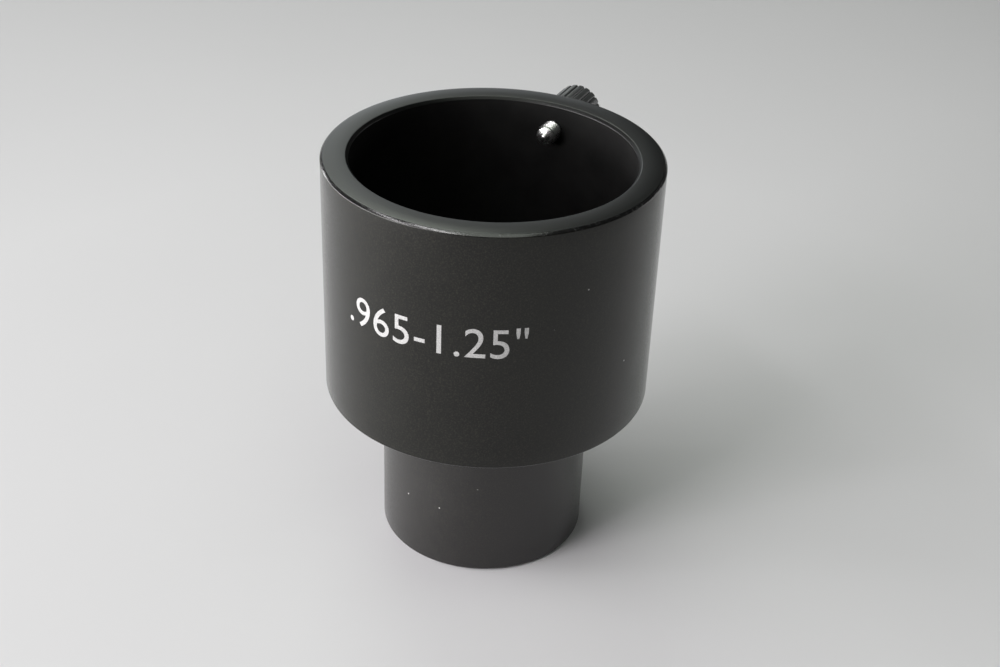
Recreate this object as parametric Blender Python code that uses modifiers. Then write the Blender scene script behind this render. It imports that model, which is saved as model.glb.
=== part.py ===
"""A 0.965 inch to 1.25 inch telescope eyepiece adapter with one thumbscrew.

The tube axis is Z and the nosepiece stands on Z = 0. The thumbscrew points along +Y.
Lengths are stated in millimetres and turned into metres where they are used.
"""

import math

import bmesh
import bpy
from mathutils import Vector

MM = 0.001

# Drum: the wide sleeve that takes a 1.25 inch eyepiece.
DRUM_RADIUS = 19.0
DRUM_BOTTOM = 20.1
DRUM_TOP = 48.85
SOCKET_RADIUS = 15.9
SOCKET_FLOOR = 23.1
RIM_OUTER_CHAMFER = 0.28
RIM_INNER_CHAMFER = 0.32
DRUM_FOOT_CHAMFER = 0.2

# Nosepiece: the 0.965 inch barrel and the spigot that holds it in the drum's floor.
BARREL_RADIUS = 12.25
BARREL_BORE_RADIUS = 10.5
BARREL_END_CHAMFER = 0.35
BARREL_BORE_CHAMFER = 0.4
SPIGOT_RADIUS = 11.6
BARREL_SEAT_DEPTH = 1.0
SEAT_GAP = 0.05

# Thumbscrew: an M2.5 stud with a half-dog point, in a small ribbed head.
SCREW_HEIGHT = 45.45
STUD_RADIUS = 1.25
STUD_TIP = 13.5
STUD_SHOULDER = 13.9
STUD_SHOULDER_CHAMFER = 0.25
POINT_RADIUS = 0.5
POINT_CHAMFER = 0.12
THREAD_CLEARANCE = 0.05
HEAD_RADIUS = 2.85
HEAD_NEAR_FACE = 19.9
HEAD_LENGTH = 4.5
HEAD_CHAMFER = 0.3
HEAD_SOCKET_DEPTH = 3.3
RIB_COUNT = 20
RIB_GROOVE_RADIUS = 0.2
RIB_GROOVE_DEPTH = 0.16
RIB_TURN_DEGREES = 14.0

# Facets round each turned shape, and the working allowances.
TUBE_STEPS = 160
SCREW_STEPS = 40
HEAD_STEPS = 4 * RIB_COUNT
GROOVE_STEPS = 12
CUTTER_OVERRUN = 1.0
MERGE_DISTANCE = 1e-6
SHARP_ABOVE_DEGREES = 30.0

# Finishes: name, base colour, metallic value and roughness.
DRUM_FINISH = ("black_anodised", (0.022, 0.023, 0.023), 0.9, 0.5)
BARREL_FINISH = ("black_barrel", (0.035, 0.033, 0.032), 0.9, 0.45)
HEAD_FINISH = ("black_head", (0.025, 0.026, 0.026), 0.2, 0.45)
STUD_FINISH = ("bright_steel", (0.72, 0.72, 0.7), 1.0, 0.18)


def clear_scene():
    for existing in list(bpy.data.objects):
        bpy.data.objects.remove(existing, do_unlink=True)


def make_collection(name):
    collection = bpy.data.collections.new(name)
    bpy.context.scene.collection.children.link(collection)
    return collection


def make_material(name, color, metallic, roughness):
    material = bpy.data.materials.new(name)
    material.use_nodes = True
    shader = material.node_tree.nodes["Principled BSDF"]
    shader.inputs["Base Color"].default_value = (*color, 1.0)
    shader.inputs["Metallic"].default_value = metallic
    shader.inputs["Roughness"].default_value = roughness
    return material


def object_from_bmesh(name, mesh_data, collection):
    mesh = bpy.data.meshes.new(name)
    mesh_data.to_mesh(mesh)
    mesh_data.free()
    made = bpy.data.objects.new(name, mesh)
    collection.objects.link(made)
    return made


def shade_round(target):
    """Smooth shading that keeps the turned edges crisp."""
    for polygon in target.data.polygons:
        polygon.use_smooth = True
    target.data.set_sharp_from_angle(angle=math.radians(SHARP_ABOVE_DEGREES))


def apply_modifiers(target):
    graph = bpy.context.evaluated_depsgraph_get()
    finished = bpy.data.meshes.new_from_object(target.evaluated_get(graph))
    target.modifiers.clear()
    target.data = finished


def turned_solid(name, profile, steps, collection):
    """Revolves a closed (radius, height) outline about Z."""
    outline = bmesh.new()
    corners = [outline.verts.new((radius * MM, 0.0, height * MM)) for radius, height in profile]
    for index, corner in enumerate(corners):
        outline.edges.new((corner, corners[(index + 1) % len(corners)]))
    target = object_from_bmesh(name, outline, collection)
    spin = target.modifiers.new("turning", "SCREW")
    spin.axis = "Z"
    spin.steps = steps
    spin.render_steps = steps
    spin.use_merge_vertices = True
    spin.merge_threshold = MERGE_DISTANCE
    apply_modifiers(target)
    return target


def turn_along_y(target):
    """Lays a solid that was turned about Z down, so that its axis runs along +Y."""
    for vertex in target.data.vertices:
        x, y, z = vertex.co
        vertex.co = Vector((-x, z, y))
    target.data.update()


def cut(target, cutter):
    modifier = target.modifiers.new("cut_" + cutter.name, "BOOLEAN")
    modifier.operation = "DIFFERENCE"
    modifier.solver = "EXACT"
    modifier.object = cutter


def hide_cutter(cutter):
    cutter.hide_render = True
    cutter.display_type = "WIRE"


def rod_cutter(name, radius, start, end, steps, collection):
    """A plain rod along +Y at the thumbscrew's height."""
    rod = bmesh.new()
    bmesh.ops.create_cone(
        rod,
        cap_ends=True,
        segments=steps,
        radius1=radius * MM,
        radius2=radius * MM,
        depth=(end - start) * MM,
    )
    cutter = object_from_bmesh(name, rod, collection)
    turn_along_y(cutter)
    cutter.location = (0.0, (start + end) / 2 * MM, SCREW_HEIGHT * MM)
    recalculate_normals(cutter)
    hide_cutter(cutter)
    return cutter


def recalculate_normals(target):
    mesh_data = bmesh.new()
    mesh_data.from_mesh(target.data)
    bmesh.ops.recalc_face_normals(mesh_data, faces=mesh_data.faces)
    mesh_data.to_mesh(target.data)
    mesh_data.free()


def build_drum(parts, cutters):
    floor_hole = SPIGOT_RADIUS + SEAT_GAP
    seat_radius = BARREL_RADIUS + SEAT_GAP
    seat_top = DRUM_BOTTOM + BARREL_SEAT_DEPTH
    profile = [
        (SOCKET_RADIUS + RIM_INNER_CHAMFER, DRUM_TOP),
        (DRUM_RADIUS - RIM_OUTER_CHAMFER, DRUM_TOP),
        (DRUM_RADIUS, DRUM_TOP - RIM_OUTER_CHAMFER),
        (DRUM_RADIUS, DRUM_BOTTOM + DRUM_FOOT_CHAMFER),
        (DRUM_RADIUS - DRUM_FOOT_CHAMFER, DRUM_BOTTOM),
        (seat_radius, DRUM_BOTTOM),
        (seat_radius, seat_top),
        (floor_hole, seat_top),
        (floor_hole, SOCKET_FLOOR),
        (SOCKET_RADIUS, SOCKET_FLOOR),
        (SOCKET_RADIUS, DRUM_TOP - RIM_INNER_CHAMFER),
    ]
    drum = turned_solid("drum_body", profile, TUBE_STEPS, parts)
    recalculate_normals(drum)
    hole = rod_cutter(
        "screw_hole",
        STUD_RADIUS + THREAD_CLEARANCE,
        SOCKET_RADIUS - CUTTER_OVERRUN,
        DRUM_RADIUS + CUTTER_OVERRUN,
        SCREW_STEPS,
        cutters,
    )
    cut(drum, hole)
    apply_modifiers(drum)
    drum.data.materials.append(make_material(*DRUM_FINISH))
    shade_round(drum)
    return drum


def build_nosepiece(parts):
    shoulder = DRUM_BOTTOM + BARREL_SEAT_DEPTH - SEAT_GAP
    spigot_end = SOCKET_FLOOR - SEAT_GAP
    profile = [
        (SPIGOT_RADIUS, spigot_end),
        (SPIGOT_RADIUS, shoulder),
        (BARREL_RADIUS, shoulder),
        (BARREL_RADIUS, BARREL_END_CHAMFER),
        (BARREL_RADIUS - BARREL_END_CHAMFER, 0.0),
        (BARREL_BORE_RADIUS + BARREL_BORE_CHAMFER, 0.0),
        (BARREL_BORE_RADIUS, BARREL_BORE_CHAMFER),
        (BARREL_BORE_RADIUS, spigot_end),
    ]
    nosepiece = turned_solid("nosepiece_barrel", profile, TUBE_STEPS, parts)
    recalculate_normals(nosepiece)
    nosepiece.data.materials.append(make_material(*BARREL_FINISH))
    shade_round(nosepiece)
    return nosepiece


def build_head(parts, cutters):
    socket_radius = STUD_RADIUS + SEAT_GAP
    profile = [
        (0.0, HEAD_LENGTH),
        (HEAD_RADIUS - HEAD_CHAMFER, HEAD_LENGTH),
        (HEAD_RADIUS, HEAD_LENGTH - HEAD_CHAMFER),
        (HEAD_RADIUS, HEAD_CHAMFER),
        (HEAD_RADIUS - HEAD_CHAMFER, 0.0),
        (socket_radius, 0.0),
        (socket_radius, HEAD_SOCKET_DEPTH),
        (0.0, HEAD_SOCKET_DEPTH),
    ]
    head = turned_solid("thumbscrew_head", profile, HEAD_STEPS, parts)
    groove_centre = HEAD_RADIUS + RIB_GROOVE_RADIUS - RIB_GROOVE_DEPTH
    grooves = bmesh.new()
    for index in range(RIB_COUNT):
        angle = math.radians(RIB_TURN_DEGREES) + 2 * math.pi * index / RIB_COUNT
        made = bmesh.ops.create_cone(
            grooves,
            cap_ends=True,
            segments=GROOVE_STEPS,
            radius1=RIB_GROOVE_RADIUS * MM,
            radius2=RIB_GROOVE_RADIUS * MM,
            depth=(HEAD_LENGTH + 2 * CUTTER_OVERRUN) * MM,
        )
        offset = Vector((math.cos(angle), math.sin(angle), 0.0)) * groove_centre * MM
        offset.z = HEAD_LENGTH / 2 * MM
        bmesh.ops.translate(grooves, verts=made["verts"], vec=offset)
    groove_cutter = object_from_bmesh("rib_grooves", grooves, cutters)
    hide_cutter(groove_cutter)
    recalculate_normals(head)
    cut(head, groove_cutter)
    apply_modifiers(head)
    for moved in (head, groove_cutter):
        turn_along_y(moved)
        recalculate_normals(moved)
        moved.location = (0.0, HEAD_NEAR_FACE * MM, SCREW_HEIGHT * MM)
    head.data.materials.append(make_material(*HEAD_FINISH))
    shade_round(head)
    return head


def build_stud(parts):
    length = HEAD_NEAR_FACE + HEAD_SOCKET_DEPTH - SEAT_GAP - STUD_TIP
    shoulder = STUD_SHOULDER - STUD_TIP
    profile = [
        (0.0, length),
        (STUD_RADIUS, length),
        (STUD_RADIUS, shoulder + STUD_SHOULDER_CHAMFER),
        (STUD_RADIUS - STUD_SHOULDER_CHAMFER, shoulder),
        (POINT_RADIUS, shoulder),
        (POINT_RADIUS, POINT_CHAMFER),
        (POINT_RADIUS - POINT_CHAMFER, 0.0),
        (0.0, 0.0),
    ]
    stud = turned_solid("thumbscrew_stud", profile, SCREW_STEPS, parts)
    turn_along_y(stud)
    recalculate_normals(stud)
    stud.location = (0.0, STUD_TIP * MM, SCREW_HEIGHT * MM)
    stud.data.materials.append(make_material(*STUD_FINISH))
    shade_round(stud)
    return stud


def main():
    clear_scene()
    parts = make_collection("eyepiece_adapter")
    cutters = make_collection("cutters")
    build_drum(parts, cutters)
    build_nosepiece(parts)
    build_head(parts, cutters)
    build_stud(parts)


main()
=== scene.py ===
"""Looks for the 0.965 inch to 1.25 inch eyepiece adapter: pieces, materials, lights and camera."""

import math
import bmesh
import bpy
from mathutils import Matrix, Vector


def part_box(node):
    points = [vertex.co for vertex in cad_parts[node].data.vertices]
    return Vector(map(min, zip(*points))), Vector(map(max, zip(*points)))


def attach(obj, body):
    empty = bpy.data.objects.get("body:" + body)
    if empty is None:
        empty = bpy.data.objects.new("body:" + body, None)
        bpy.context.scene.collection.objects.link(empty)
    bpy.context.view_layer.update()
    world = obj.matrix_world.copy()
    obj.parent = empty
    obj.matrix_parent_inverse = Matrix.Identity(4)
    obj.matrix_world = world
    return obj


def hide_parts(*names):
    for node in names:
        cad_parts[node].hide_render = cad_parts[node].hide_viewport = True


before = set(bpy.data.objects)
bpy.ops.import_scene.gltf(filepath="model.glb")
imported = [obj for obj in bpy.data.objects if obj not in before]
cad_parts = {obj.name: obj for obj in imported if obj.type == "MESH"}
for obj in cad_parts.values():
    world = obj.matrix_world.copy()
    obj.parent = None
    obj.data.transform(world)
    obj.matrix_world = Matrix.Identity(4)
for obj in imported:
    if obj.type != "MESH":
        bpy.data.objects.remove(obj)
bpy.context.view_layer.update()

MM = 0.001

# The CAD nodes' boxes give every main dimension.
DRUM_LOW, DRUM_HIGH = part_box("drum_body")
NOSE_LOW, NOSE_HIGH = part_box("nosepiece_barrel")
HEAD_LOW, HEAD_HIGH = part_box("thumbscrew_head")
STUD_LOW, STUD_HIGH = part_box("thumbscrew_stud")
DRUM_RADIUS = DRUM_HIGH.x
DRUM_TOP = DRUM_HIGH.z
DRUM_BOTTOM = DRUM_LOW.z
NOSE_RADIUS = NOSE_HIGH.x
NOSE_TOP = NOSE_HIGH.z
HEAD_RADIUS = HEAD_HIGH.x
HEAD_NEAR = HEAD_LOW.y
HEAD_FAR = HEAD_HIGH.y
STUD_RADIUS = STUD_HIGH.x
STUD_TIP = STUD_LOW.y
STUD_END = STUD_HIGH.y
SCREW_HEIGHT = (HEAD_LOW.z + HEAD_HIGH.z) / 2

# Sizes shared with the CAD solids that their boxes don't give, and the pitch of the screw's motion.
SOCKET_RADIUS = 15.9 * MM
SOCKET_FLOOR = 23.1 * MM
RIM_OUTER_CHAMFER = 0.28 * MM
RIM_INNER_CHAMFER = 0.32 * MM
FOOT_CHAMFER = 0.2 * MM
SPIGOT_RADIUS = 11.6 * MM
BARREL_SEAT_DEPTH = 1.0 * MM
SEAT_GAP = 0.05 * MM
NOSE_BORE_RADIUS = 10.5 * MM
NOSE_END_CHAMFER = 0.35 * MM
NOSE_BORE_CHAMFER = 0.4 * MM
HOLE_RADIUS = 1.3 * MM
HEAD_SOCKET_DEPTH = 3.3 * MM
THREAD_PITCH = 0.45 * MM

# Fine shape that the CAD solids leave out.
TUBE_STEPS = 288
LONGEST_RUN = 2.0 * MM
DRUM_CORNER = 0.05 * MM
NOSE_CORNER = 0.06 * MM
TUBE_SHARP_ANGLE = 38
HOLE_STEPS = 64
HOLE_FLARE = 1.25
PRINT_WIDTH = 21.2 * MM
PRINT_LAYER = 0.015 * MM
PRINT_SINK = 0.002 * MM
PRINT_LONGEST_EDGE = 0.5 * MM
PRINT_SPLITS = 3
PRINT_CENTRE_HEIGHT = 36.2 * MM
PRINT_AZIMUTH = -84.2
PRINT_TEXT = '.965-1.25"'

# The backdrop's light, and where painted shade darkens the floor and a painted glow fades it into the
# backdrop (distances from the tube axis).
AMBIENT_STRENGTH = 0.03
BACKDROP_STRENGTH = 0.5
BACKDROP_COLOUR = (0.97, 1.0, 0.98)
FLOOR_HALF_WIDTH = 1.5
FLOOR_PAINTED_SHADE = (0.1, 0.7)
FLOOR_PAINTED_GLOW = (0.35, 1.0)


# ---------------------------------------------------------------- node helpers
class Graph:
    """Short-hand for building a material's node tree."""

    def __init__(self, name):
        self.material = bpy.data.materials.new(name)
        self.material.use_nodes = True
        self.tree = self.material.node_tree
        self.shader = self.tree.nodes["Principled BSDF"]
        self.coordinates = self.add("ShaderNodeTexCoord").outputs["Object"]

    def add(self, kind, inputs=(), **settings):
        node = self.tree.nodes.new(kind)
        for key, value in settings.items():
            setattr(node, key, value)
        for key, value in dict(inputs).items():
            self.feed(node.inputs[key], value)
        return node

    def feed(self, socket, value):
        if isinstance(value, bpy.types.NodeSocket):
            self.tree.links.new(value, socket)
        else:
            socket.default_value = value

    def math(self, operation, first, second=0.0):
        node = self.add("ShaderNodeMath", operation=operation)
        self.feed(node.inputs[0], first)
        self.feed(node.inputs[1], second)
        return node.outputs[0]

    def noise(self, scale, detail=4.0, roughness=0.55, stretch=None):
        source = self.coordinates
        if stretch:
            mapping = self.add("ShaderNodeMapping", {"Vector": source})
            mapping.inputs["Scale"].default_value = stretch
            source = mapping.outputs["Vector"]
        node = self.add(
            "ShaderNodeTexNoise",
            {"Vector": source, "Scale": scale, "Detail": detail, "Roughness": roughness},
        )
        return node.outputs["Fac"]

    def ramp(self, factor, low, high, start=0.0, end=1.0):
        """Maps factor from low..high to start..end, clamped."""
        node = self.add(
            "ShaderNodeMapRange",
            {"Value": factor, "From Min": low, "From Max": high, "To Min": start, "To Max": end},
        )
        node.clamp = True
        return node.outputs["Result"]

    def mix(self, factor, first, second):
        node = self.add("ShaderNodeMix", data_type="RGBA")
        self.feed(node.inputs[0], factor)
        self.feed(node.inputs[6], as_color(first))
        self.feed(node.inputs[7], as_color(second))
        return node.outputs[2]

    def radius(self):
        """Distance from the tube axis."""
        parts = self.add("ShaderNodeSeparateXYZ", {"Vector": self.coordinates})
        squared_x = self.math("MULTIPLY", parts.outputs["X"], parts.outputs["X"])
        squared_y = self.math("MULTIPLY", parts.outputs["Y"], parts.outputs["Y"])
        return self.math("SQRT", self.math("ADD", squared_x, squared_y))

    def height(self):
        return self.add("ShaderNodeSeparateXYZ", {"Vector": self.coordinates}).outputs["Z"]

    def lines(self, along, scale, detail=3.0):
        """Fine tool lines that vary only along one measure."""
        scaled = self.math("MULTIPLY", along, scale)
        node = self.add("ShaderNodeTexNoise", noise_dimensions="1D")
        self.feed(node.inputs["W"], scaled)
        node.inputs["Scale"].default_value = 1.0
        node.inputs["Detail"].default_value = detail
        return node.outputs["Fac"]

    def dust(self, cell_scale, spot, share):
        """Sparse specks: 1 on a speck and 0 elsewhere."""
        cells = self.add(
            "ShaderNodeTexVoronoi", {"Vector": self.coordinates, "Scale": cell_scale}
        )
        near = self.math("LESS_THAN", cells.outputs["Distance"], spot)
        pick = self.add("ShaderNodeSeparateColor", {"Color": cells.outputs["Color"]})
        chosen = self.math("LESS_THAN", pick.outputs["Red"], share)
        return self.math("MULTIPLY", near, chosen)

    def bump(self, height, strength, distance, normal=None):
        node = self.add(
            "ShaderNodeBump", {"Height": height, "Strength": strength, "Distance": distance}
        )
        if normal is not None:
            self.feed(node.inputs["Normal"], normal)
        return node.outputs["Normal"]

    def set(self, **values):
        """Feeds the shader's sockets, whose names are the keys with spaces for underscores."""
        for key, value in values.items():
            self.feed(self.shader.inputs[key.replace("_", " ")], as_color(value))


def as_color(value):
    """Adds the alpha to a three-number colour, and leaves a number or a socket as it is."""
    return (*value, 1.0) if isinstance(value, tuple) and len(value) == 3 else value


# ---------------------------------------------------------------- materials
def anodised_side(name, dark, light, roughness, line_strength):
    """Satin black anodised aluminium with a fine etched grain and a little dust."""
    graph = Graph(name)
    cloud = graph.noise(160.0, 5.0)
    grain = graph.noise(5600.0, 3.0, 0.65)
    tone = graph.mix(graph.ramp(cloud, 0.35, 0.65), dark, light)
    tone = graph.mix(graph.ramp(grain, 0.48, 0.72), tone, (0.0135, 0.0132, 0.0085))
    specks = graph.dust(437.0, 0.04, 0.35)
    tone = graph.mix(graph.math("MULTIPLY", specks, 0.5), tone, (0.75, 0.74, 0.72))
    rough = graph.ramp(cloud, 0.3, 0.7, roughness - 0.03, roughness + 0.03)
    rough = graph.math("ADD", rough, graph.ramp(grain, 0.3, 0.7, -0.07, 0.07))
    turned = graph.bump(graph.lines(graph.height(), 9000.0), line_strength, 0.00002)
    etched = graph.bump(grain, 0.35, 0.00004, turned)
    graph.set(Base_Color=tone, Roughness=rough, Normal=etched)
    return graph


def anodised_drum():
    """The drum's side: dense black under a thin, smoother seal that shines at a glancing angle."""
    black, grey = (0.0006, 0.0006, 0.0004), (0.0018, 0.0018, 0.0013)
    graph = anodised_side("drum_satin", black, grey, roughness=0.43, line_strength=0.05)
    graph.set(IOR=1.26, Specular_Tint=(1.0, 1.0, 0.93))
    graph.set(Coat_Weight=1.0, Coat_Roughness=0.2, Coat_IOR=1.33)
    return graph.material


def anodised_nose():
    """The nosepiece: a slightly warmer, more reflective black with fine turning lines."""
    black, grey = (0.0016, 0.0013, 0.0013), (0.003, 0.0025, 0.0026)
    graph = anodised_side("nose_satin", black, grey, roughness=0.43, line_strength=0.2)
    graph.set(IOR=1.5, Specular_Tint=(1.0, 0.97, 0.97))
    graph.set(Coat_Weight=0.6, Coat_Roughness=0.2, Coat_IOR=1.4)
    return graph.material


def anodised_rim(name, gloss_index, roughness):
    """A faced-off ring: closely spaced turning rings under black anodising."""
    graph = Graph(name)
    rings = graph.lines(graph.radius(), 16000.0, 4.0)
    wide_rings = graph.lines(graph.radius(), 2400.0, 2.0)
    cloud = graph.noise(220.0, 4.0)
    tone = graph.mix(graph.ramp(cloud, 0.3, 0.7), (0.001, 0.0011, 0.0011), (0.0025, 0.0027, 0.0027))
    tone = graph.mix(graph.ramp(rings, 0.6, 0.85, 0.0, 0.08), tone, (0.02, 0.021, 0.021))
    specks = graph.dust(500.0, 0.05, 0.008)
    tone = graph.mix(graph.math("MULTIPLY", specks, 0.6), tone, (0.7, 0.7, 0.68))
    rough = graph.ramp(wide_rings, 0.3, 0.7, roughness, roughness + 0.015)
    normal = graph.bump(rings, 0.02, 0.00001)
    graph.set(Base_Color=tone, Roughness=rough, Normal=normal, IOR=gloss_index)
    return graph.material


def anodised_edge():
    """The small chamfers, a little brighter where handling has polished them."""
    graph = Graph("edge_worn")
    wear = graph.noise(2600.0, 6.0, 0.7)
    tone = graph.mix(graph.ramp(wear, 0.55, 0.72), (0.004, 0.004, 0.004), (0.09, 0.09, 0.09))
    rough = graph.ramp(wear, 0.3, 0.7, 0.14, 0.24)
    normal = graph.bump(graph.noise(5000.0, 3.0), 0.3, 0.00003)
    graph.set(Base_Color=tone, Roughness=rough, Normal=normal, IOR=1.85)
    return graph.material


def bore_black():
    """The dull black inside of the tube, with faint boring rings."""
    graph = Graph("bore_black")
    rings = graph.lines(graph.height(), 4000.0, 3.0)
    cloud = graph.noise(300.0, 4.0)
    tone = graph.mix(graph.ramp(cloud, 0.3, 0.7), (0.009, 0.009, 0.009), (0.0125, 0.0125, 0.0122))
    specks = graph.dust(330.0, 0.05, 0.01)
    tone = graph.mix(graph.math("MULTIPLY", specks, 0.2), tone, (0.3, 0.3, 0.29))
    rough = graph.ramp(rings, 0.3, 0.7, 0.72, 0.8)
    graph.set(Base_Color=tone, Roughness=rough, Normal=graph.bump(rings, 0.08, 0.00002))
    graph.set(Specular_IOR_Level=0.02)
    return graph.material


def head_black():
    """Black ribbed head: satin, with fine lighter flecks of wear all over."""
    graph = Graph("head_black")
    grain = graph.noise(5200.0, 3.0)
    cloud = graph.noise(700.0, 4.0)
    tone = graph.mix(graph.ramp(cloud, 0.35, 0.65), (0.055, 0.0563, 0.0577), (0.076, 0.078, 0.08))
    tone = graph.mix(graph.ramp(grain, 0.55, 0.75, 0.0, 0.35), tone, (0.12, 0.12, 0.12))
    rough = graph.ramp(cloud, 0.3, 0.7, 0.36, 0.46)
    graph.set(Base_Color=tone, Roughness=rough, Normal=graph.bump(grain, 0.3, 0.00003), IOR=1.55)
    return graph.material


def bright_steel():
    """Bright plated steel with fine drag marks and a little grime."""
    graph = Graph("bright_plated")
    marks = graph.noise(2600.0, 4.0, 0.6, stretch=(1.0, 0.15, 1.0))
    cloud = graph.noise(900.0, 4.0)
    tone = graph.mix(graph.ramp(cloud, 0.45, 0.75), (0.86, 0.86, 0.85), (0.6, 0.6, 0.59))
    rough = graph.ramp(marks, 0.3, 0.7, 0.24, 0.32)
    graph.set(Base_Color=tone, Roughness=rough, Normal=graph.bump(marks, 0.12, 0.00002), Metallic=1.0)
    return graph.material


def white_print():
    """Screen-printed ink, a little thin and broken at the grain."""
    graph = Graph("print_white")
    grain = graph.noise(8000.0, 3.0, 0.65)
    tone = graph.mix(graph.ramp(grain, 0.35, 0.62), (0.27, 0.27, 0.265), (0.45, 0.445, 0.44))
    rough = graph.ramp(grain, 0.3, 0.7, 0.5, 0.65)
    graph.set(Base_Color=tone, Roughness=rough, Normal=graph.bump(grain, 0.3, 0.00002))
    return graph.material


def pale_floor():
    """Matt pale paper with painted shade that darkens it far from the object, and a painted glow
    there, to meet the backdrop.
    """
    graph = Graph("floor_pale")
    cloud = graph.noise(9.0, 3.0)
    fibre = graph.noise(900.0, 4.0)
    tone = graph.mix(graph.ramp(cloud, 0.3, 0.7), (0.732, 0.725, 0.742), (0.752, 0.745, 0.762))
    radius = graph.radius()
    # Painted shade: far from the object the paper's colour darkens to grey, standing in for the light
    # falling off.
    tone = graph.mix(graph.ramp(radius, *FLOOR_PAINTED_SHADE), tone, (0.16, 0.16, 0.16))
    graph.set(Base_Color=tone, Roughness=graph.ramp(fibre, 0.3, 0.7, 0.75, 0.85))
    graph.set(Normal=graph.bump(fibre, 0.05, 0.0001))
    # Painted glow: far from the object the floor emits the backdrop's colour, though it is no lamp.
    glow = graph.ramp(radius, *FLOOR_PAINTED_GLOW, 0.0, BACKDROP_STRENGTH)
    graph.set(Emission_Color=BACKDROP_COLOUR, Emission_Strength=glow, Specular_IOR_Level=0.0)
    return graph.material


# ---------------------------------------------------------------- shapes
def link(mesh, name):
    """Puts a mesh, curve or text into the scene as an object."""
    made = bpy.data.objects.new(name, mesh)
    bpy.context.scene.collection.objects.link(made)
    return made


def rounded(profile, fillet, pieces=3):
    """Replaces each (radius, height, slot, round) corner marked round by a small arc."""
    result = []
    count = len(profile)
    for index, (radius, height, slot, is_round) in enumerate(profile):
        here = Vector((radius, height))
        if not is_round:
            result.append((here, slot))
            continue
        before = Vector(profile[index - 1][:2])
        after = Vector(profile[(index + 1) % count][:2])
        start = here + (before - here).normalized() * fillet
        end = here + (after - here).normalized() * fillet
        for step in range(pieces + 1):
            t = step / pieces
            point = start * (1 - t) ** 2 + here * 2 * t * (1 - t) + end * t**2
            result.append((point, slot))
    return result


def split_long(points, longest):
    """Adds points along the long straight runs of a profile."""
    result = []
    count = len(points)
    for index, (point, slot) in enumerate(points):
        following = points[(index + 1) % count][0]
        parts = max(1, math.ceil((following - point).length / longest))
        for step in range(parts):
            result.append((point.lerp(following, step / parts), slot))
    return result


def lathe(name, points, steps, materials):
    """Revolves a closed outline of (radius, height) points about Z. Each run carries a slot."""
    shell = bmesh.new()
    rings = []
    for step in range(steps):
        angle = 2 * math.pi * step / steps
        direction = (math.cos(angle), math.sin(angle))
        rings.append(
            [
                shell.verts.new((point.x * direction[0], point.x * direction[1], point.y))
                for point, _ in points
            ]
        )
    count = len(points)
    for step in range(steps):
        ring, next_ring = rings[step], rings[(step + 1) % steps]
        for index in range(count):
            following = (index + 1) % count
            corners = (ring[index], next_ring[index], next_ring[following], ring[following])
            face = shell.faces.new(corners)
            face.material_index = points[index][1]
            face.smooth = True
    bmesh.ops.recalc_face_normals(shell, faces=shell.faces)
    mesh = bpy.data.meshes.new(name)
    shell.to_mesh(mesh)
    shell.free()
    made = link(mesh, name)
    for material in materials:
        mesh.materials.append(material)
    mesh.set_sharp_from_angle(angle=math.radians(TUBE_SHARP_ANGLE))
    return made


def add_ring(shell, along, radius_of, steps):
    """A ring of points round the thumbscrew's axis, at a distance along +Y."""
    ring = []
    for step in range(steps):
        angle = 2 * math.pi * step / steps
        radius = radius_of(angle)
        x = radius * math.cos(angle)
        z = SCREW_HEIGHT + radius * math.sin(angle)
        ring.append(shell.verts.new((x, along, z)))
    return ring


def steady(radius):
    """A radius that is the same all round."""
    return lambda angle: radius


def skin(shell, rings):
    """Joins each ring of points to the next with a band of faces."""
    for first, second in zip(rings, rings[1:]):
        steps = len(first)
        for step in range(steps):
            following = (step + 1) % steps
            shell.faces.new((first[step], second[step], second[following], first[following]))


def finish_shell(shell, name, material, sharp_angle):
    """Turns a closed shell into a smooth-shaded object with sharp edges past sharp_angle."""
    bmesh.ops.recalc_face_normals(shell, faces=shell.faces)
    for face in shell.faces:
        face.smooth = True
    mesh = bpy.data.meshes.new(name)
    shell.to_mesh(mesh)
    shell.free()
    mesh.materials.append(material)
    mesh.set_sharp_from_angle(angle=math.radians(sharp_angle))
    return link(mesh, name)


def apply_modifiers(target):
    """Keeps the shape that the modifiers make, and removes them."""
    graph = bpy.context.evaluated_depsgraph_get()
    finished = bpy.data.meshes.new_from_object(target.evaluated_get(graph))
    target.modifiers.clear()
    target.data = finished


def bore_screw_hole(target, material_slot):
    """Cuts the thumbscrew's hole through the wall, lightly countersunk on the outside."""
    cutter_shape = bmesh.new()
    stations = (
        (SOCKET_RADIUS - 1.0 * MM, 1.0),
        (SOCKET_RADIUS - 0.2 * MM, 1.0),
        (DRUM_RADIUS - 0.25 * MM, 1.0),
        (DRUM_RADIUS + 0.15 * MM, HOLE_FLARE),
        (DRUM_RADIUS + 1.0 * MM, HOLE_FLARE),
    )
    rings = [
        add_ring(cutter_shape, along, steady(HOLE_RADIUS * widen), HOLE_STEPS)
        for along, widen in stations
    ]
    skin(cutter_shape, rings)
    cutter_shape.faces.new(rings[0])
    cutter_shape.faces.new(reversed(rings[-1]))
    bmesh.ops.recalc_face_normals(cutter_shape, faces=cutter_shape.faces)
    mesh = bpy.data.meshes.new("hole_cutter")
    cutter_shape.to_mesh(mesh)
    cutter_shape.free()
    mesh.materials.append(target.data.materials[material_slot])
    cutter = link(mesh, "hole_cutter")
    modifier = target.modifiers.new("screw_hole", "BOOLEAN")
    modifier.operation = "DIFFERENCE"
    modifier.solver = "EXACT"
    modifier.object = cutter
    bpy.context.view_layer.update()
    apply_modifiers(target)
    bpy.data.objects.remove(cutter, do_unlink=True)
    target.data.set_sharp_from_angle(angle=math.radians(TUBE_SHARP_ANGLE))


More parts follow.
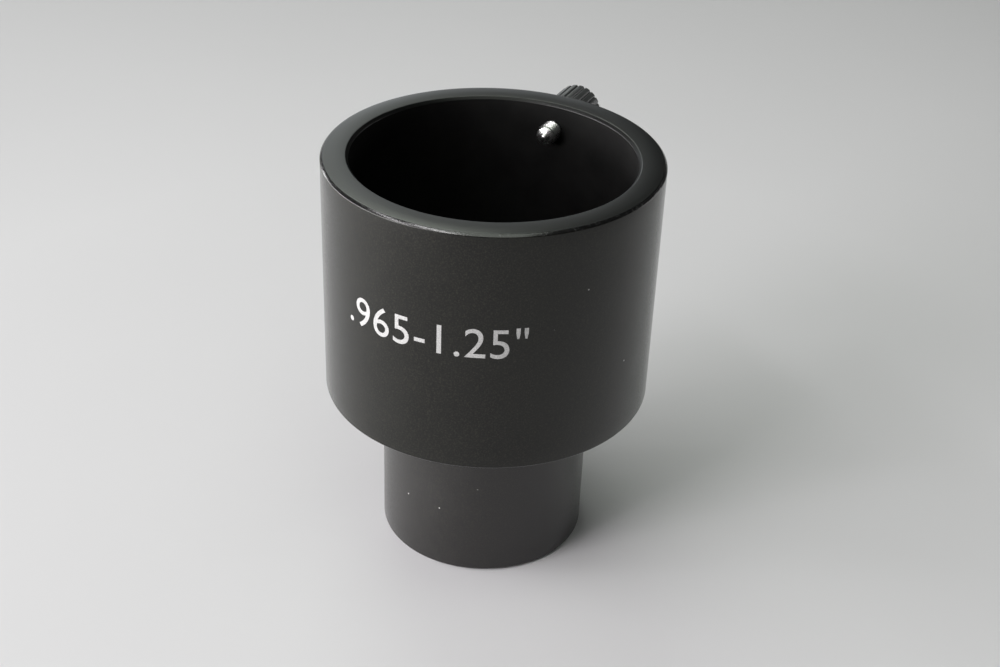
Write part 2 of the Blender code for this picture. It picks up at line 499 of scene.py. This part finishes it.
def make_drum():
    """The turned drum: rounded edges, socket, seat for the nosepiece, and the thumbscrew's hole."""
    side, rim, edge, bore, lip = 0, 1, 2, 3, 4
    outer = DRUM_RADIUS - PRINT_LAYER
    floor_hole = SPIGOT_RADIUS + SEAT_GAP
    seat_radius = NOSE_RADIUS + SEAT_GAP
    seat_top = DRUM_BOTTOM + BARREL_SEAT_DEPTH
    profile = [
        (SOCKET_RADIUS + RIM_INNER_CHAMFER, DRUM_TOP, rim, True),
        (outer - RIM_OUTER_CHAMFER, DRUM_TOP, edge, True),
        (outer, DRUM_TOP - RIM_OUTER_CHAMFER, side, True),
        (outer, DRUM_BOTTOM + FOOT_CHAMFER, edge, True),
        (outer - FOOT_CHAMFER, DRUM_BOTTOM, side, True),
        (seat_radius, DRUM_BOTTOM, bore, False),
        (seat_radius, seat_top, bore, False),
        (floor_hole, seat_top, bore, False),
        (floor_hole, SOCKET_FLOOR, bore, False),
        (SOCKET_RADIUS, SOCKET_FLOOR, bore, False),
        (SOCKET_RADIUS, DRUM_TOP - RIM_INNER_CHAMFER, lip, True),
    ]
    points = split_long(rounded(profile, DRUM_CORNER), LONGEST_RUN)
    materials = (
        anodised_drum(),
        anodised_rim("rim_turned", 1.85, 0.275),
        anodised_edge(),
        bore_black(),
        anodised_rim("lip_turned", 1.42, 0.36),
    )
    drum = lathe("drum_shell", points, TUBE_STEPS, materials)
    bore_screw_hole(drum, bore)
    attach(drum, "sleeve")
    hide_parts("drum_body")
    return drum


def make_nosepiece():
    """The narrow barrel, with its spigot in the drum and chamfers at its open end."""
    side, edge, bore = 0, 1, 2
    shoulder = DRUM_BOTTOM + BARREL_SEAT_DEPTH - SEAT_GAP
    profile = [
        (SPIGOT_RADIUS, NOSE_TOP, bore, False),
        (SPIGOT_RADIUS, shoulder, side, False),
        (NOSE_RADIUS, shoulder, side, False),
        (NOSE_RADIUS, NOSE_END_CHAMFER, edge, True),
        (NOSE_RADIUS - NOSE_END_CHAMFER, 0.0, side, True),
        (NOSE_BORE_RADIUS + NOSE_BORE_CHAMFER, 0.0, edge, True),
        (NOSE_BORE_RADIUS, NOSE_BORE_CHAMFER, bore, True),
        (NOSE_BORE_RADIUS, NOSE_TOP, bore, False),
    ]
    points = split_long(rounded(profile, NOSE_CORNER), LONGEST_RUN)
    materials = (
        anodised_nose(),
        anodised_edge(),
        bore_black(),
    )
    nose = lathe("nosepiece_shell", points, TUBE_STEPS, materials)
    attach(nose, "sleeve")
    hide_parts("nosepiece_barrel")
    return nose


RIB_COUNT = 20
RIB_SAMPLES = 16
RIB_DEPTH = 0.16 * MM
RIB_CROWN = 0.02 * MM
RIB_GROOVE_SHARE = 0.36
RIB_TURN = math.radians(-5.0)
HEAD_CHAMFER = 0.3 * MM
HEAD_ROUNDING = 0.08 * MM
HEAD_ROUNDING_DROP = HEAD_ROUNDING * 1.2
HEAD_SIDE_DROP = 0.02 * MM
# The flat of the near face, as a share of the head's radius.
HEAD_NEAR_FLAT = 0.74
# The dish in the far face, from its edge inwards: depth, and share of the head's radius.
HEAD_DISH = (
    (0.0, 0.8),
    (0.05 * MM, 0.72),
    (0.22 * MM, 0.62),
    (0.26 * MM, 0.5),
    (0.26 * MM, 0.2),
)


def rib_radius(angle, scale):
    """Outer radius of the ribbed head: broad, slightly crowned lands and narrow grooves."""
    phase = ((angle - RIB_TURN) * RIB_COUNT / (2 * math.pi)) % 1.0
    from_groove = abs(phase - 0.5) * 2
    groove = max(0.0, 1 - from_groove / RIB_GROOVE_SHARE)
    crown = RIB_CROWN * (1 - from_groove) ** 2
    return (HEAD_RADIUS - RIB_DEPTH * math.sin(groove * math.pi / 2) - crown) * scale


def head_side(length):
    """The ribbed side from the near chamfer to the far one: distance, and share of the full radius."""
    near_half = [
        (0.0, 1 - HEAD_CHAMFER / HEAD_RADIUS),
        (HEAD_ROUNDING, 1 - (HEAD_CHAMFER - HEAD_ROUNDING_DROP) / HEAD_RADIUS),
        (HEAD_CHAMFER, 1 - HEAD_SIDE_DROP / HEAD_RADIUS),
        (HEAD_CHAMFER + HEAD_ROUNDING, 1.0),
    ]
    far_half = [(length - along, scale) for along, scale in reversed(near_half)]
    return [*near_half, (length / 2, 1.0), *far_half]


def make_head():
    """The ribbed head: lofted rings from the near face's pocket to the dished far face."""
    length = HEAD_FAR - HEAD_NEAR
    pocket = STUD_RADIUS + SEAT_GAP
    steps = RIB_COUNT * RIB_SAMPLES
    outline = [
        (HEAD_SOCKET_DEPTH, steady(pocket)),
        (0.0, steady(pocket)),
        (0.0, steady(HEAD_RADIUS * HEAD_NEAR_FLAT)),
    ]
    for along, scale in head_side(length):
        outline.append((along, lambda angle, scale=scale: rib_radius(angle, scale)))
    outline += [(length - depth, steady(HEAD_RADIUS * share)) for depth, share in HEAD_DISH]
    shell = bmesh.new()
    rings = [add_ring(shell, HEAD_NEAR + along, radius_of, steps) for along, radius_of in outline]
    skin(shell, rings)
    shell.faces.new(rings[0])
    shell.faces.new(reversed(rings[-1]))
    head = finish_shell(shell, "ribbed_head", head_black(), sharp_angle=40)
    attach(head, "head")
    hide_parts("thumbscrew_head")
    return head


STUD_STEPS = 72
ROWS_PER_PITCH = 14
THREAD_DEPTH = 0.2 * MM
THREAD_START = 0.75 * MM
THREAD_RUN_IN = 0.25 * MM
THREAD_ROOT_SHARE = 0.12
THREAD_FLANK_SHARE = 0.7
CREST_GAP = 0.01 * MM
SHOULDER_RADIUS = 1.14 * MM
POINT_LENGTH = 0.4 * MM
POINT_RADIUS = 0.46 * MM
DOME_HEIGHT = 0.3 * MM
DOME_ROWS = 8
# From the rounded point to the full shoulder: distance past the point, and depth under the shoulder.
SHOULDER_RISE = (
    (0.05 * MM, 0.24 * MM),
    (0.09 * MM, 0.16 * MM),
    (0.2 * MM, 0.04 * MM),
    (0.27 * MM, 0.0),
)


def clamped(value):
    """The value, kept between 0 and 1."""
    return min(1.0, max(0.0, value))


def thread_radius(along, angle):
    """Radius of the stud's surface: a plain shoulder, then a fine ridge that winds left-handed."""
    phase = (along / THREAD_PITCH - angle / (2 * math.pi)) % 1.0
    ridge = abs(phase - 0.5) * 2
    profile = clamped((ridge - THREAD_ROOT_SHARE) / THREAD_FLANK_SHARE)
    threaded = STUD_RADIUS - CREST_GAP - THREAD_DEPTH * (1 - profile)
    blend = clamped((along - THREAD_START) / THREAD_RUN_IN)
    return SHOULDER_RADIUS + (threaded - SHOULDER_RADIUS) * blend


def stud_tip():
    """The domed point and the shoulder behind it: distance from the tip, and radius."""
    profile = []
    for row in range(1, DOME_ROWS + 1):
        angle = math.pi / 2 * row / DOME_ROWS
        profile.append((DOME_HEIGHT * (1 - math.cos(angle)), POINT_RADIUS * math.sin(angle)))
    profile.append((POINT_LENGTH - 0.03 * MM, POINT_RADIUS))
    profile.append((POINT_LENGTH, POINT_RADIUS + 0.04 * MM))
    for past, depth in SHOULDER_RISE:
        profile.append((POINT_LENGTH + past, SHOULDER_RADIUS - depth))
    return profile


def make_stud():
    """The plated stud, with its small rounded point towards the socket's middle."""
    length = STUD_END - STUD_TIP
    row_height = THREAD_PITCH / ROWS_PER_PITCH
    outline = [(along, steady(radius)) for along, radius in stud_tip()]
    along = outline[-1][0] + row_height
    while along < length:
        outline.append((along, lambda angle, along=along: thread_radius(along, angle)))
        along += row_height
    outline.append((length, steady(STUD_RADIUS - THREAD_DEPTH)))
    shell = bmesh.new()
    tip = shell.verts.new((0.0, STUD_TIP, SCREW_HEIGHT))
    rings = [add_ring(shell, STUD_TIP + along, radius_of, STUD_STEPS) for along, radius_of in outline]
    for step in range(STUD_STEPS):
        shell.faces.new((tip, rings[0][step], rings[0][(step + 1) % STUD_STEPS]))
    skin(shell, rings)
    shell.faces.new(reversed(rings[-1]))
    stud = finish_shell(shell, "threaded_stud", bright_steel(), sharp_angle=50)
    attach(stud, "stud")
    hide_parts("thumbscrew_stud")
    return stud


def make_print():
    """The white size legend, wrapped on the drum opposite the thumbscrew."""
    curve = bpy.data.curves.new("legend_outline", "FONT")
    curve.body = PRINT_TEXT
    curve.align_x = "CENTER"
    curve.align_y = "CENTER"
    curve.space_character = 1.04
    curve.resolution_u = 6
    flat = link(curve, "legend_outline")
    bpy.context.view_layer.update()
    graph = bpy.context.evaluated_depsgraph_get()
    mesh = bpy.data.meshes.new_from_object(flat.evaluated_get(graph))
    bpy.data.objects.remove(flat, do_unlink=True)
    low = min(vertex.co.y for vertex in mesh.vertices)
    high = max(vertex.co.y for vertex in mesh.vertices)
    left = min(vertex.co.x for vertex in mesh.vertices)
    right = max(vertex.co.x for vertex in mesh.vertices)
    scale = PRINT_WIDTH / (right - left)
    shell = bmesh.new()
    shell.from_mesh(mesh)
    bpy.data.meshes.remove(mesh)
    bmesh.ops.triangulate(shell, faces=shell.faces)
    for _ in range(PRINT_SPLITS):
        long_edges = [edge for edge in shell.edges if edge.calc_length() * scale > PRINT_LONGEST_EDGE]
        bmesh.ops.subdivide_edges(shell, edges=long_edges, cuts=1)
        bmesh.ops.triangulate(shell, faces=shell.faces)
    centre = math.radians(PRINT_AZIMUTH)
    outer = DRUM_RADIUS - PRINT_SINK
    for vertex in shell.verts:
        across = (vertex.co.x - (left + right) / 2) * scale
        up = (vertex.co.y - (low + high) / 2) * scale
        angle = centre + across / DRUM_RADIUS
        vertex.co = (outer * math.cos(angle), outer * math.sin(angle), PRINT_CENTRE_HEIGHT + up)
    bmesh.ops.recalc_face_normals(shell, faces=shell.faces)
    made = bpy.data.meshes.new("size_legend")
    shell.to_mesh(made)
    shell.free()
    made.materials.append(white_print())
    legend = link(made, "size_legend")
    for polygon in made.polygons:
        polygon.use_smooth = True
    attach(legend, "sleeve")
    return legend


# ---------------------------------------------------------------- stage
CAMERA_POSITION = (0.06371, -0.13706, 0.11885)
CAMERA_TARGET = (0.00217, -0.00132, 0.02712)
CAMERA_ROLL = 2.28
CAMERA_LENS = 54.44
CAMERA_SENSOR = 36.0
CAMERA_NEAR_LIMIT = 0.01


def make_camera():
    """A camera at the photograph's height and angle, with the photograph's slight roll."""
    data = bpy.data.cameras.new("camera")
    data.lens = CAMERA_LENS
    data.sensor_width = CAMERA_SENSOR
    data.clip_start = CAMERA_NEAR_LIMIT
    camera = bpy.data.objects.new("camera", data)
    bpy.context.scene.collection.objects.link(camera)
    position = Vector(CAMERA_POSITION)
    aim = (Vector(CAMERA_TARGET) - position).to_track_quat("-Z", "Y")
    turn = aim.to_matrix().to_4x4() @ Matrix.Rotation(math.radians(CAMERA_ROLL), 4, "Z")
    camera.matrix_world = Matrix.Translation(position) @ turn
    bpy.context.scene.camera = camera


def make_floor():
    """The pale table that the adapter stands on."""
    shape = bmesh.new()
    bmesh.ops.create_grid(shape, x_segments=8, y_segments=8, size=FLOOR_HALF_WIDTH)
    mesh = bpy.data.meshes.new("floor")
    shape.to_mesh(mesh)
    shape.free()
    mesh.materials.append(pale_floor())
    floor = link(mesh, "floor")


def soft_light(name, azimuth, elevation, distance, width, height, power, color):
    """A flat lamp that faces the object and stays out of the camera's sight."""
    data = bpy.data.lights.new(name, "AREA")
    data.shape = "RECTANGLE"
    data.size = width
    data.size_y = height
    data.energy = power
    data.color = color
    light = bpy.data.objects.new(name, data)
    light.visible_camera = False
    bpy.context.scene.collection.objects.link(light)
    turn, rise = math.radians(azimuth), math.radians(elevation)
    direction = Vector(
        (math.cos(turn) * math.cos(rise), math.sin(turn) * math.cos(rise), math.sin(rise))
    )
    light.location = Vector(LIGHT_TARGET) + direction * distance
    light.rotation_mode = "QUATERNION"
    light.rotation_quaternion = (-direction).to_track_quat("-Z", "Y")


LIGHT_TARGET = (0.0, 0.0, 0.03)
NEUTRAL = (1.0, 0.985, 0.99)
ROSE = (1.0, 0.93, 0.985)
GREENISH = (0.93, 1.0, 0.9)
COOL = (0.93, 0.98, 1.0)
# Softboxes round the table: name, azimuth and elevation in degrees, distance, width and height in
# metres, power in watts, colour.
SOFTBOXES = (
    ("low_front_left", -120.0, 10.0, 0.55, 0.22, 0.22, 1.85, NEUTRAL),
    ("low_left_a", -140.0, 5.0, 1.2, 0.6, 0.24, 13.5, NEUTRAL),
    ("low_left_b", -163.0, 5.0, 1.2, 0.6, 0.24, 11.0, NEUTRAL),
    ("low_left_c", 173.0, 5.0, 1.2, 0.6, 0.24, 4.0, NEUTRAL),
    ("key_softbox", -112.5, 28.0, 0.55, 0.22, 0.22, 0.68, ROSE),
    ("edge_strip_left", -145.0, 45.0, 0.7, 0.28, 0.045, 0.34, NEUTRAL),
    ("edge_strip_right", -114.0, 55.0, 0.7, 0.28, 0.05, 0.42, NEUTRAL),
    ("overhead", -75.0, 74.0, 0.7, 0.6, 0.6, 1.3, GREENISH),
    ("high_back", 134.0, 46.0, 1.0, 0.5, 0.44, 1.6, GREENISH),
    ("low_back_a", 120.0, 10.0, 0.7, 0.28, 0.28, 0.16, COOL),
    ("low_back_b", 135.0, 16.0, 0.6, 0.3, 0.2, 0.14, COOL),
    ("low_right", 50.0, 5.0, 0.6, 0.3, 0.12, 0.5, NEUTRAL),
)


def make_world():
    """A faint neutral fill, seen by the camera as a pale backdrop above the table."""
    world = bpy.data.worlds.new("studio")
    world.use_nodes = True
    tree = world.node_tree
    background = tree.nodes["Background"]
    background.inputs["Color"].default_value = as_color(BACKDROP_COLOUR)
    seen = tree.nodes.new("ShaderNodeLightPath").outputs["Is Camera Ray"]
    strength = tree.nodes.new("ShaderNodeMapRange")
    strength.inputs["To Min"].default_value = AMBIENT_STRENGTH
    strength.inputs["To Max"].default_value = BACKDROP_STRENGTH
    tree.links.new(seen, strength.inputs["Value"])
    tree.links.new(strength.outputs["Result"], background.inputs["Strength"])
    bpy.context.scene.world = world


def make_lights():
    """Plain soft studio light from every softbox."""
    for softbox in SOFTBOXES:
        soft_light(*softbox)


def main():
    scene = bpy.context.scene
    scene.view_settings.view_transform = "Standard"
    scene.view_settings.look = "None"
    make_drum()
    make_nosepiece()
    make_head()
    make_stud()
    make_print()
    make_floor()
    make_world()
    make_lights()
    make_camera()


main()
